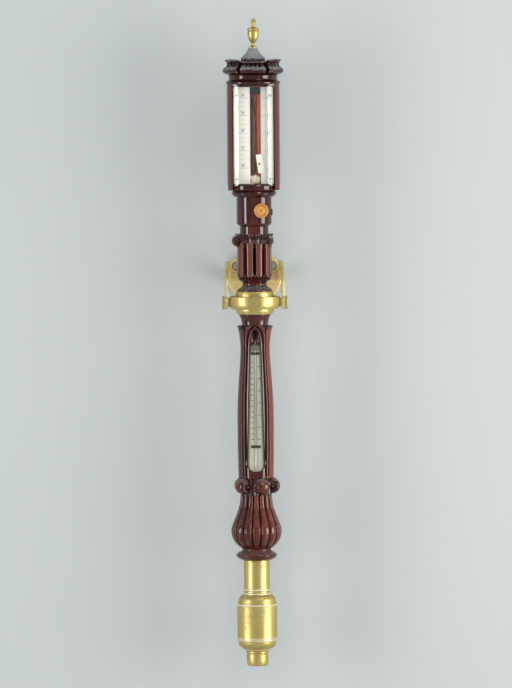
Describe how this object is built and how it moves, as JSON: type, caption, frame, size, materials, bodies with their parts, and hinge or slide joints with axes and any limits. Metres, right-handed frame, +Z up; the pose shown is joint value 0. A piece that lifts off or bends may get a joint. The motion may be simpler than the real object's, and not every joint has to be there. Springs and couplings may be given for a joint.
{
  "type": "marine barometer",
  "caption": "Marine mercury barometer in a carved mahogany case with a bow-fronted scale, thermometer, brass cistern and a brass gimbal on a round wall plate.",
  "frame": {"origin": "centre of the wall plate's back face, on the wall", "axes": "+Z up along the case, +Y into the wall, so the dial faces -Y, and +X to the right as seen from the front"},
  "size_m": [0.0946, 0.164, 0.9401],
  "materials": {
    "polished_brass": "polished, lightly toned",
    "aged_brass": "toned",
    "steel": "satin",
    "mahogany": "French polished, dark red-brown",
    "ebony": "satin",
    "ivory": "satin",
    "bone": "waxed",
    "clear_glass": "clear",
    "mercury": "liquid mirror",
    "boxwood": "oiled",
    "kid_leather": "soft",
    "cotton_wad": "matte"
  },
  "bodies": {
    "wall_bracket": {"wall_plate": "polished_brass", "wall_screws": "steel", "yoke": "polished_brass", "yoke_screws": "aged_brass"},
    "ring": {"gimbal_ring": "polished_brass", "ring_pivot_screws": "polished_brass", "case_pivot_screws": "polished_brass"},
    "vernier": {"vernier_plate": "ivory", "vernier_screw": "aged_brass", "vernier_rack": "polished_brass"},
    "knob": {"pinion_shaft": "polished_brass", "setting_knob": "bone"},
    "pad": {"pressure_pad": "boxwood"},
    "screw": {"portable_screw": "aged_brass", "bottom_knob": "polished_brass"},
    "case": {"gimbal_collar": "polished_brass", "finial": "polished_brass", "roof_cone": "mahogany", "carved_crown": "mahogany", "cornice": "mahogany", "head_backboard": "mahogany", "stile_left": "mahogany", "stile_right": "mahogany", "bow_glass": "clear_glass", "sill": "mahogany", "upper_trunk": "mahogany", "barrel_plug": "ebony", "scale_plate_left": "ivory", "scale_plate_right": "ivory", "scale_screws": "aged_brass", "tube_cap": "ebony", "tube_packing": "cotton_wad", "knob_bush": "polished_brass", "lower_trunk": "mahogany", "thermometer_scale": "ivory", "thermometer_tube": "clear_glass", "thermometer_mercury": "mercury", "thermometer_clips": "aged_brass", "thermometer_glass": "clear_glass", "thermometer_bead": "mahogany", "base_bulb": "mahogany", "barometer_tube": "clear_glass", "mercury_column": "mercury", "brass_sleeve": "polished_brass", "sleeve_screws": "aged_brass", "cistern_shell": "polished_brass", "cistern_lid": "boxwood", "cistern_body": "boxwood", "cistern_mercury": "mercury", "cistern_leather": "kid_leather", "cistern_base": "polished_brass"}
  },
  "joints": [
    {"name": "ring_tilt", "type": "hinge", "parent": "wall_bracket", "child": "ring", "pos_m": [0, -0.092, -0.034], "axis": [1, 0, 0], "range_deg": [-7, 7]},
    {"name": "case_swing", "type": "hinge", "parent": "ring", "child": "case", "pos_m": [0, -0.092, -0.034], "axis": [0, 1, 0], "range_deg": [-18, 18]},
    {"name": "knob_turn", "type": "hinge", "parent": "case", "child": "knob", "pos_m": [0.0104, -0.092, 0.0999], "axis": [0, -1, 0], "range_deg": [0, 1218]},
    {"name": "vernier_slide", "type": "slide", "parent": "case", "child": "vernier", "axis": [0, 0, 1], "range_m": [0, 0.085]},
    {"name": "screw_turn", "type": "hinge", "parent": "pad", "child": "screw", "pos_m": [0, -0.092, -0.5231], "axis": [0, 0, 1], "range_deg": [-2160.5, 0]},
    {"name": "pad_slide", "type": "slide", "parent": "case", "child": "pad", "axis": [0, 0, 1], "range_m": [-0.006, 0]}
  ],
  "couplings": [
    {"joint": "knob_turn", "follows": "vernier_slide", "rad_per_m": 250},
    {"joint": "screw_turn", "follows": "pad_slide", "rad_per_m": 6283.2}
  ]
}
